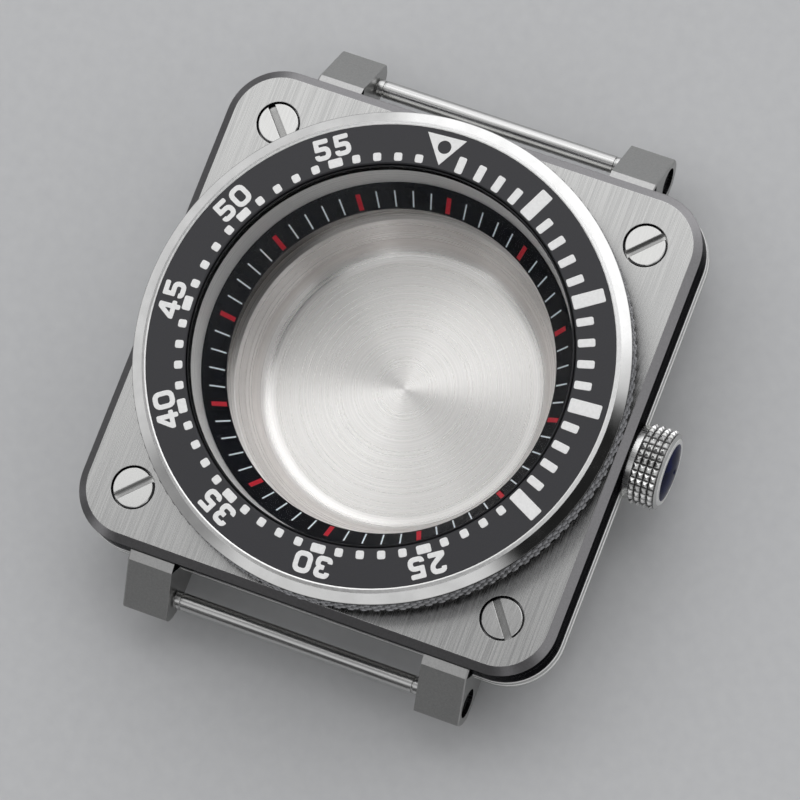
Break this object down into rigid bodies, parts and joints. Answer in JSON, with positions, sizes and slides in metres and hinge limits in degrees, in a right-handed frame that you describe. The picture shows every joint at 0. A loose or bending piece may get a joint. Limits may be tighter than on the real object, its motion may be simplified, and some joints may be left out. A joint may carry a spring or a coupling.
{
  "type": "watch case",
  "caption": "Square steel diver's watch case with a turning knurled bezel, a crown, lugs with sprung strap bars and a screwed back; it holds a round dial and movement.",
  "frame": {"origin": "on the bezel's axis, in the plane that the flat of the case back rests on", "axes": "+Z out of the crystal, +Y to 12 o'clock, +X to the crown at 3 o'clock"},
  "size_m": [0.0456, 0.0502, 0.0142],
  "materials": {
    "satin_steel": "fine satin",
    "brushed_plate": "brushed along 12 to 6 o'clock",
    "polished_steel": "mirror polish",
    "turned_steel": "turned",
    "spring_steel": "plain",
    "insert_anthracite": "matt anodised with white print",
    "chapter_black": "gloss black with fine ticks",
    "crystal_glass": "clear, flat",
    "gasket_black": "plain",
    "white_print": "satin print",
    "red_print": "satin print",
    "blue_stone": "polished dome"
  },
  "bodies": {
    "case": {"mid_case": "satin_steel", "top_plate": "brushed_plate", "plate_screws": "polished_steel", "crystal": "crystal_glass", "crystal_gasket": "gasket_black", "chapter_ring": "chapter_black", "crown_tube": "turned_steel", "click_spring": "spring_steel", "bezel_retaining_ring": "spring_steel"},
    "case_back": {"case_back": "turned_steel", "case_back_gasket": "gasket_black", "back_screws": "polished_steel"},
    "bezel": {"bezel_ring": "polished_steel", "bezel_insert": "insert_anthracite"},
    "crown_sleeve": {"crown_seal": "gasket_black"},
    "crown": {"crown": "polished_steel", "crown_cabochon": "blue_stone"},
    "upper_bar": {"upper_bar_tube": "polished_steel", "upper_bar_coil": "spring_steel"},
    "lower_bar": {"lower_bar_tube": "polished_steel", "lower_bar_coil": "spring_steel"},
    "upper_bar_right_tip": {"upper_bar_right_tip": "turned_steel"},
    "upper_bar_left_tip": {"upper_bar_left_tip": "turned_steel"},
    "lower_bar_right_tip": {"lower_bar_right_tip": "turned_steel"},
    "lower_bar_left_tip": {"lower_bar_left_tip": "turned_steel"}
  },
  "joints": [
    {"name": "case_back_lift", "type": "slide", "parent": "case", "child": "case_back", "axis": [0, 0, -1], "range_m": [0, 0.012]},
    {"name": "bezel_turn", "type": "hinge", "parent": "case", "child": "bezel", "pos_m": [0, 0, 0.0115], "axis": [0, 0, 1], "continuous": true},
    {"name": "crown_pull", "type": "slide", "parent": "case", "child": "crown_sleeve", "axis": [1, 0, 0], "range_m": [0, 0.0012]},
    {"name": "crown_turn", "type": "hinge", "parent": "crown_sleeve", "child": "crown", "pos_m": [0.0228, 0, 0.0058], "axis": [1, 0, 0], "continuous": true},
    {"name": "upper_bar_spin", "type": "hinge", "parent": "case", "child": "upper_bar", "pos_m": [0, 0.02315, 0.0044], "axis": [1, 0, 0], "continuous": true},
    {"name": "upper_bar_right_press", "type": "slide", "parent": "upper_bar", "child": "upper_bar_right_tip", "axis": [-1, 0, 0], "range_m": [0, 0.00115], "stiffness_N_per_m": 300},
    {"name": "upper_bar_left_press", "type": "slide", "parent": "upper_bar", "child": "upper_bar_left_tip", "axis": [1, 0, 0], "range_m": [0, 0.00115], "stiffness_N_per_m": 300},
    {"name": "lower_bar_spin", "type": "hinge", "parent": "case", "child": "lower_bar", "pos_m": [0, -0.02315, 0.0044], "axis": [1, 0, 0], "continuous": true},
    {"name": "lower_bar_right_press", "type": "slide", "parent": "lower_bar", "child": "lower_bar_right_tip", "axis": [-1, 0, 0], "range_m": [0, 0.00115], "stiffness_N_per_m": 300},
    {"name": "lower_bar_left_press", "type": "slide", "parent": "lower_bar", "child": "lower_bar_left_tip", "axis": [1, 0, 0], "range_m": [0, 0.00115], "stiffness_N_per_m": 300}
  ]
}
